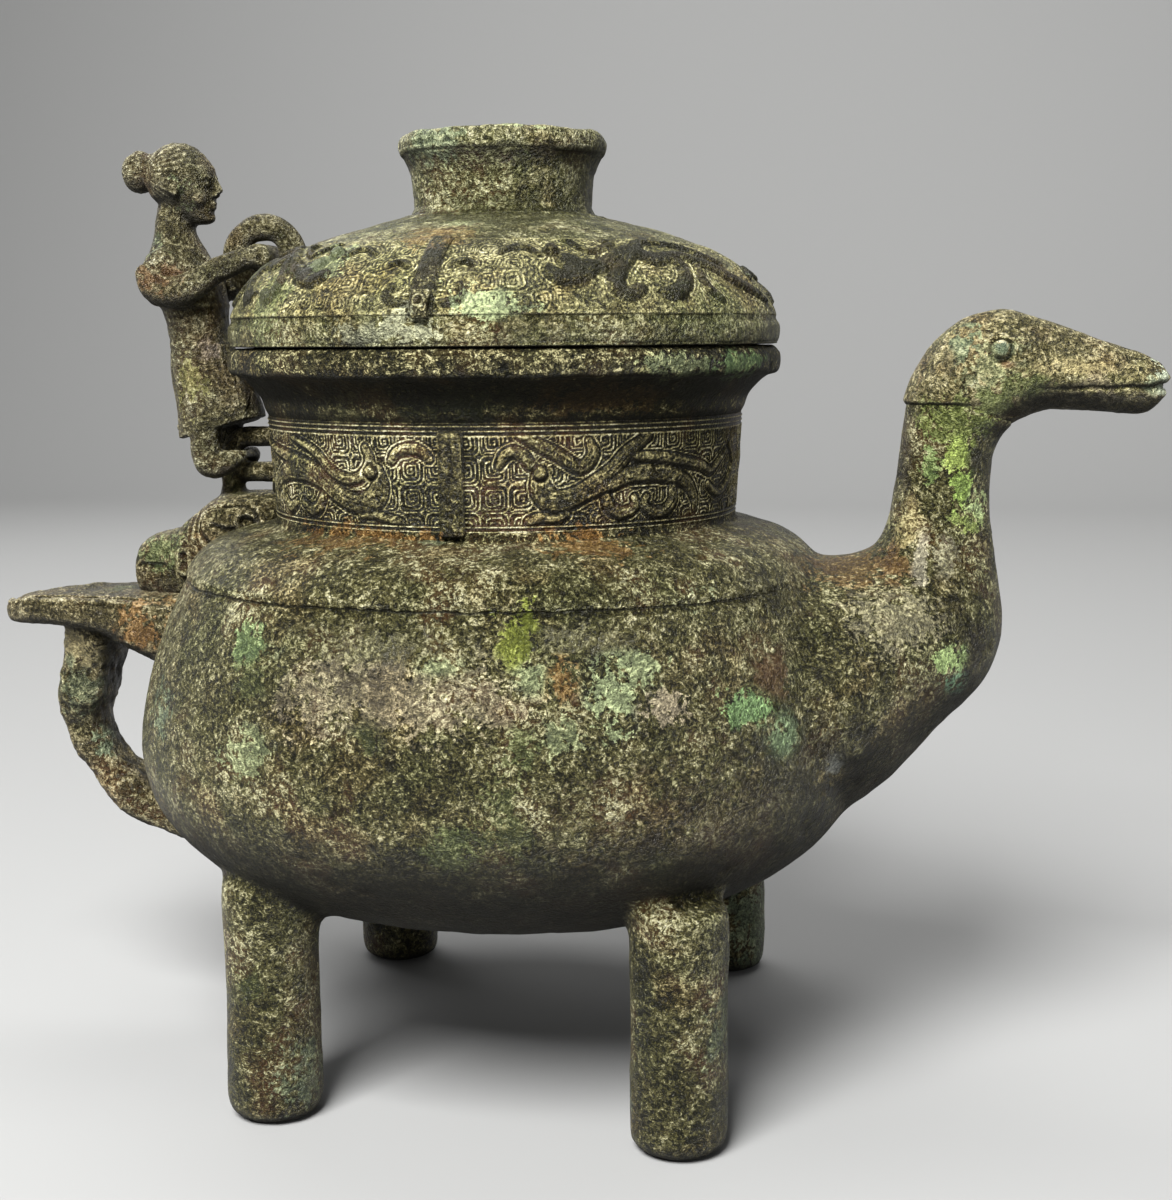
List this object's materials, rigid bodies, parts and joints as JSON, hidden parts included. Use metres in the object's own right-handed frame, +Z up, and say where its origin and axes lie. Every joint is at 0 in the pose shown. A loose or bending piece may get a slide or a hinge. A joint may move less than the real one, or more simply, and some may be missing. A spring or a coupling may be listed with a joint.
{
  "type": "bronze incense burner",
  "caption": "Duck-shaped bronze incense burner on four legs, with a relief collar, a hinged domed lid held by a small figure, a spout neck, a flat tail and a loop handle.",
  "frame": {"origin": "under the middle of the bounding box, at the height of the feet", "axes": "+Z up, +X towards the beak, +Y to the left of the duck as it faces +X"},
  "size_m": [0.3212, 0.19, 0.2521],
  "materials": {
    "vessel_bronze": "corroded cast bronze, dark olive and black crust with pale speckle, green patches and brown stains",
    "lid_bronze": "corroded cast bronze, lighter khaki green crust on relief",
    "figure_bronze": "corroded cast bronze, olive brown crust with worn pale highlights"
  },
  "bodies": {
    "base": {"vessel": "vessel_bronze", "figure": "figure_bronze"},
    "cover": {"lid": "lid_bronze"}
  },
  "joints": [
    {"name": "lid_hinge", "type": "hinge", "parent": "base", "child": "cover", "pos_m": [-0.0812, 0, 0.2202], "axis": [0, -1, 0], "range_deg": [0, 80]}
  ]
}
